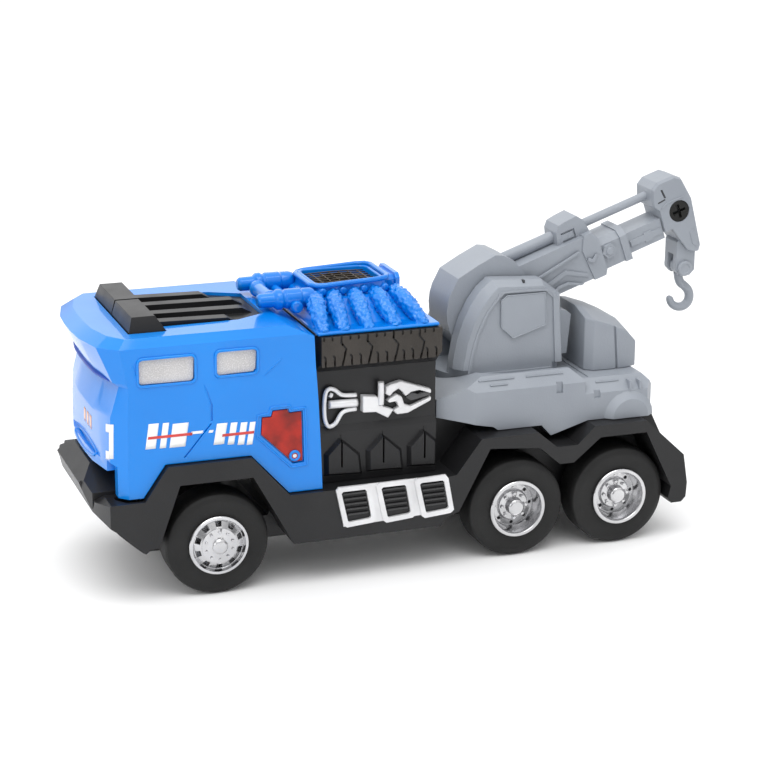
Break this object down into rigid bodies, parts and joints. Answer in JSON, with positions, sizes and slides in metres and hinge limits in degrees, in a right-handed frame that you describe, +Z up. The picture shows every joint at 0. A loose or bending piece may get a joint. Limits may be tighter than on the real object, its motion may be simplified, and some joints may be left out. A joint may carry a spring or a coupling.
{
  "type": "toy crane truck",
  "caption": "Toy recovery truck: box cab, exposed engine, swivelling crane with a sliding boom and hanging hook on a wheeled frame.",
  "frame": {"origin": "on the ground, under the middle of the bounding box", "axes": "+X to the front of the truck, +Y to its left side, +Z up; 1 unit = 1 m"},
  "size_m": [0.1581, 0.0506, 0.0848],
  "materials": {
    "tyre_rubber": "matt black moulded tyre",
    "chrome_rim": "vacuum-plated plastic",
    "pin_steel": "plain wire steel",
    "screw_steel": "zinc plated",
    "black_screw": "blackened cross-head screw",
    "black_plastic": "satin black moulding",
    "blue_paint": "gloss blue enamel on die-cast metal",
    "blue_plastic": "glossy blue moulding",
    "window_grey": "speckled light grey",
    "badge_red": "red printed badge",
    "silver_trim": "silver printed relief",
    "crane_grey": "satin grey moulding"
  },
  "bodies": {
    "truck": {"chassis_frame": "black_plastic", "base_plate": "black_plastic", "base_plate_screws": "screw_steel", "cab_shell": "blue_paint", "window_insert": "window_grey", "roof_light_bar": "black_plastic", "side_badge_left": "badge_red", "side_badge_right": "badge_red", "engine_block": "blue_plastic", "intake_fan": "black_plastic", "exhaust_headers": "blue_plastic", "air_duct": "blue_plastic", "mid_body": "black_plastic", "tool_relief_left": "silver_trim", "tool_relief_right": "silver_trim", "step_trim_left": "silver_trim", "step_trim_right": "silver_trim", "crane_deck": "crane_grey", "winch_housing": "crane_grey"},
    "front_wheels": {"front_axle": "pin_steel", "front_hub_left": "chrome_rim", "front_hub_right": "chrome_rim", "front_tyre_left": "tyre_rubber", "front_tyre_right": "tyre_rubber"},
    "middle_wheels": {"middle_axle": "pin_steel", "middle_hub_left": "chrome_rim", "middle_hub_right": "chrome_rim", "middle_tyre_left": "tyre_rubber", "middle_tyre_right": "tyre_rubber"},
    "rear_wheels": {"rear_axle": "pin_steel", "rear_hub_left": "chrome_rim", "rear_hub_right": "chrome_rim", "rear_tyre_left": "tyre_rubber", "rear_tyre_right": "tyre_rubber"},
    "turret": {"turret_body": "crane_grey", "turret_retainer": "crane_grey", "turret_screw": "screw_steel", "boom_pivot_pin": "pin_steel"},
    "boom": {"boom_outer": "crane_grey", "ram_barrel": "crane_grey"},
    "sliding_boom": {"boom_inner": "crane_grey", "head_cover": "crane_grey", "head_screw": "black_screw", "piston_rod": "crane_grey", "hook_yoke": "crane_grey", "hook_pin": "pin_steel"},
    "hook": {"hook": "crane_grey"}
  },
  "joints": [
    {"name": "front_axle_spin", "type": "hinge", "parent": "truck", "child": "front_wheels", "pos_m": [0.05017, 0, 0.012], "axis": [0, 1, 0], "continuous": true},
    {"name": "middle_axle_spin", "type": "hinge", "parent": "truck", "child": "middle_wheels", "pos_m": [-0.02257, 0, 0.012], "axis": [0, 1, 0], "continuous": true},
    {"name": "rear_axle_spin", "type": "hinge", "parent": "truck", "child": "rear_wheels", "pos_m": [-0.04902, 0, 0.012], "axis": [0, 1, 0], "continuous": true},
    {"name": "turret_swivel", "type": "hinge", "parent": "truck", "child": "turret", "pos_m": [-0.02483, 0, 0.04], "axis": [0, 0, 1], "range_deg": [-120, 120]},
    {"name": "boom_luff", "type": "hinge", "parent": "turret", "child": "boom", "pos_m": [-0.02333, 0, 0.056], "axis": [0, 1, 0], "range_deg": [-4, 35]},
    {"name": "boom_slide", "type": "slide", "parent": "boom", "child": "sliding_boom", "axis": [-0.9444, 0, 0.3289], "range_m": [-0.006, 0.014]},
    {"name": "hook_swing", "type": "hinge", "parent": "sliding_boom", "child": "hook", "pos_m": [-0.07443, 0, 0.0614], "axis": [0, 1, 0], "range_deg": [-40, 40]}
  ]
}
